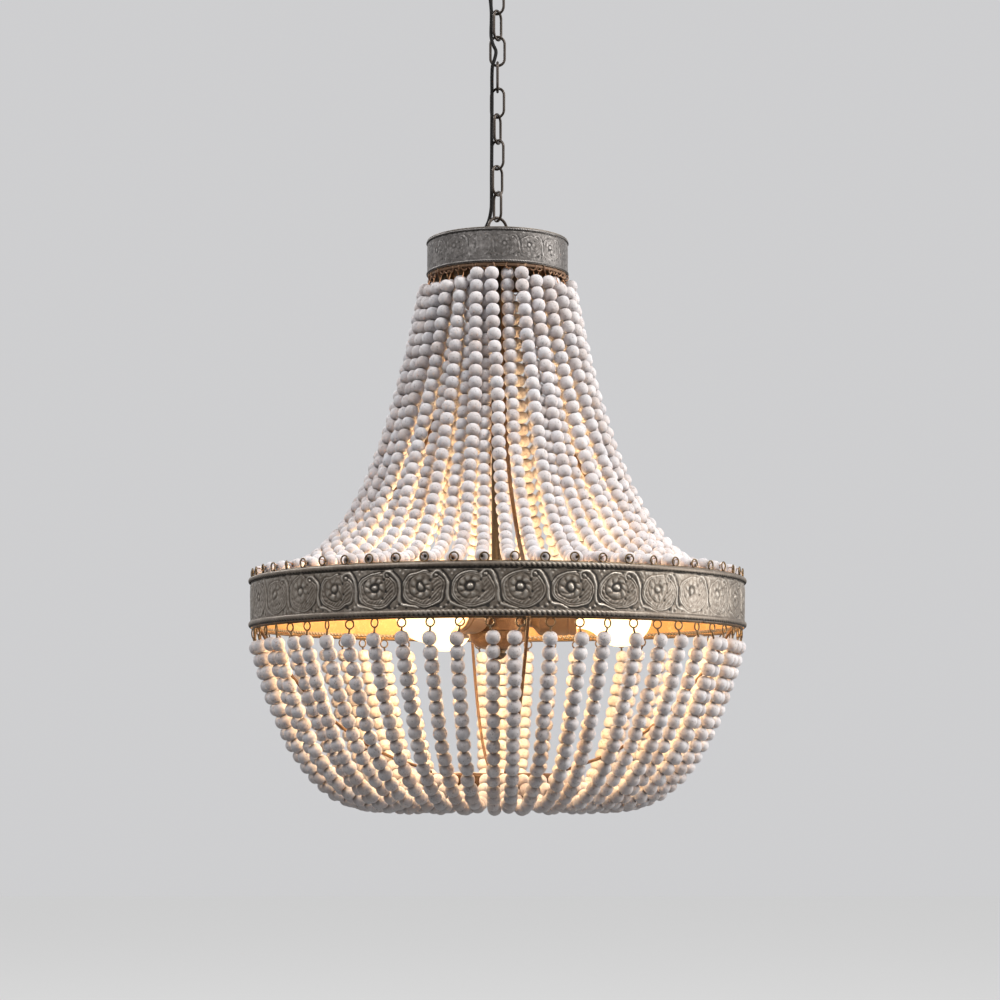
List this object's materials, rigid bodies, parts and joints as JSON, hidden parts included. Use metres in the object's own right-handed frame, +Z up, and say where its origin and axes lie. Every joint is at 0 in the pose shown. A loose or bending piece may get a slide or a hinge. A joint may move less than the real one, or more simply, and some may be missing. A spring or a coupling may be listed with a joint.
{
  "type": "beaded chandelier",
  "caption": "Flared chandelier of wooden bead strings round an ornamented metal band, with globe bulbs inside, hung from a ceiling canopy by a chain with a cord.",
  "frame": {"origin": "centre of the crossbar's top face, on the ceiling", "axes": "+Z up out of the ceiling mount along the chain, +X to the right and -Y towards the viewer in the picture"},
  "size_m": [0.5, 0.5, 0.9077],
  "materials": {
    "aged_iron": "matt paint with bright worn ornament",
    "dark_bronze": "dark bronze, satin",
    "rusty_wire": "rust-brown iron, matt",
    "whitewashed_wood": "whitewashed wood, matt",
    "black_cord": "matt black cord cover",
    "dark_plastic": "matt dark plastic",
    "socket_plastic": "matt brown plastic",
    "warm_glass": "frosted white glass"
  },
  "bodies": {
    "canopy": {"ceiling_crossbar": "aged_iron", "ceiling_canopy": "aged_iron", "canopy_bushing": "dark_plastic", "canopy_lock_nut": "dark_bronze", "hanging_loop": "dark_bronze"},
    "chain_1": {"chain_link_1": "dark_bronze"},
    "chain_2": {"chain_link_2": "dark_bronze"},
    "chain_3": {"chain_link_3": "dark_bronze"},
    "chain_4": {"chain_link_4": "dark_bronze"},
    "chain_5": {"chain_link_5": "dark_bronze"},
    "chain_6": {"chain_link_6": "dark_bronze"},
    "chain_7": {"chain_link_7": "dark_bronze"},
    "chain_8": {"chain_link_8": "dark_bronze"},
    "chain_9": {"chain_link_9": "dark_bronze"},
    "chandelier": {"collar_plate": "aged_iron", "collar_band": "aged_iron", "main_band": "aged_iron", "crown_loop": "dark_bronze", "stem": "dark_bronze", "hub_finial": "dark_bronze", "collar_ring": "rusty_wire", "bottom_ring": "rusty_wire", "hub_body": "rusty_wire", "hub_cap": "rusty_wire", "upper_rod_1": "rusty_wire", "upper_rod_2": "rusty_wire", "upper_rod_3": "rusty_wire", "upper_rod_4": "rusty_wire", "lower_rib_1": "rusty_wire", "lower_rib_2": "rusty_wire", "lower_rib_3": "rusty_wire", "lower_rib_4": "rusty_wire", "upper_strings_1": "whitewashed_wood", "upper_strings_2": "whitewashed_wood", "upper_strings_3": "whitewashed_wood", "upper_strings_4": "whitewashed_wood", "upper_strings_5": "whitewashed_wood", "upper_strings_6": "whitewashed_wood", "upper_strings_7": "whitewashed_wood", "upper_strings_8": "whitewashed_wood", "lower_strings_1": "whitewashed_wood", "lower_strings_2": "whitewashed_wood", "lower_strings_3": "whitewashed_wood", "lower_strings_4": "whitewashed_wood", "lower_strings_5": "whitewashed_wood", "lower_strings_6": "whitewashed_wood", "lower_strings_7": "whitewashed_wood", "lower_strings_8": "whitewashed_wood", "power_cord": "black_cord", "plate_bushing": "dark_plastic", "lamp_socket_1": "socket_plastic", "lamp_socket_2": "socket_plastic", "lamp_socket_3": "socket_plastic"},
    "bulb_1": {"bulb_1": "warm_glass"},
    "bulb_2": {"bulb_2": "warm_glass"},
    "bulb_3": {"bulb_3": "warm_glass"}
  },
  "joints": [
    {"name": "chain_1_swing", "type": "hinge", "parent": "canopy", "child": "chain_1", "pos_m": [0, 0, -0.0739], "axis": [0.5, 0.866, 0], "range_deg": [-15, 15], "deforming": ["power_cord"]},
    {"name": "chain_2_swing", "type": "hinge", "parent": "chain_1", "child": "chain_2", "pos_m": [0, 0, -0.09935], "axis": [0.866, -0.5, 0], "range_deg": [-15, 15]},
    {"name": "chain_3_swing", "type": "hinge", "parent": "chain_2", "child": "chain_3", "pos_m": [0, 0, -0.12545], "axis": [-0.5, -0.866, 0], "range_deg": [-15, 15]},
    {"name": "chain_4_swing", "type": "hinge", "parent": "chain_3", "child": "chain_4", "pos_m": [0, 0, -0.15155], "axis": [-1, 0, 0], "range_deg": [-15, 15]},
    {"name": "chain_5_swing", "type": "hinge", "parent": "chain_4", "child": "chain_5", "pos_m": [0, 0, -0.17765], "axis": [0, 1, 0], "range_deg": [-15, 15]},
    {"name": "chain_6_swing", "type": "hinge", "parent": "chain_5", "child": "chain_6", "pos_m": [0, 0, -0.20375], "axis": [0.9063, -0.4226, 0], "range_deg": [-15, 15]},
    {"name": "chain_7_swing", "type": "hinge", "parent": "chain_6", "child": "chain_7", "pos_m": [0, 0, -0.22985], "axis": [-0.4226, -0.9063, 0], "range_deg": [-15, 15]},
    {"name": "chain_8_swing", "type": "hinge", "parent": "chain_7", "child": "chain_8", "pos_m": [0, 0, -0.25595], "axis": [-0.8192, 0.5736, 0], "range_deg": [-15, 15]},
    {"name": "chain_9_swing", "type": "hinge", "parent": "chain_8", "child": "chain_9", "pos_m": [0, 0, -0.28205], "axis": [0.6428, 0.766, 0], "range_deg": [-15, 15]},
    {"name": "chandelier_swing", "type": "hinge", "parent": "chain_9", "child": "chandelier", "pos_m": [0, 0, -0.30815], "axis": [0.5, -0.866, 0], "range_deg": [-15, 15]},
    {"name": "bulb_1_turn", "type": "hinge", "parent": "chandelier", "child": "bulb_1", "pos_m": [0.08019, -0.0042, -0.70622], "axis": [0.9986, -0.0523, 0], "continuous": true},
    {"name": "bulb_2_turn", "type": "hinge", "parent": "chandelier", "child": "bulb_2", "pos_m": [-0.03646, 0.07155, -0.70622], "axis": [-0.454, 0.891, 0], "continuous": true},
    {"name": "bulb_3_turn", "type": "hinge", "parent": "chandelier", "child": "bulb_3", "pos_m": [-0.04374, -0.06735, -0.70622], "axis": [-0.5446, -0.8387, 0], "continuous": true}
  ]
}
